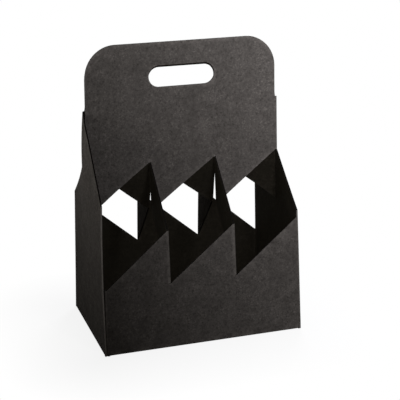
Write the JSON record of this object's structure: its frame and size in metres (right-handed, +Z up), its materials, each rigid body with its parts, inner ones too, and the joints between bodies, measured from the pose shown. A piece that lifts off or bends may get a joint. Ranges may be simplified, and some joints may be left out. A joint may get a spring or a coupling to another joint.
{
  "type": "bottle carrier",
  "caption": "Folded card bottle carrier with saw-tooth sides, slanted straps between the bottles and a two-ply upright handle with a finger slot.",
  "frame": {"origin": "on the table, under the middle of the carrier", "axes": "+Z up, +X along a row of bottles to the right as seen from the front, +Y from the front to the rear"},
  "size_m": [0.201, 0.134, 0.286],
  "materials": {
    "black_card": "matt black uncoated kraft liner on microflute card"
  },
  "bodies": {
    "root": {"carrier": "black_card"}
  },
  "joints": []
}
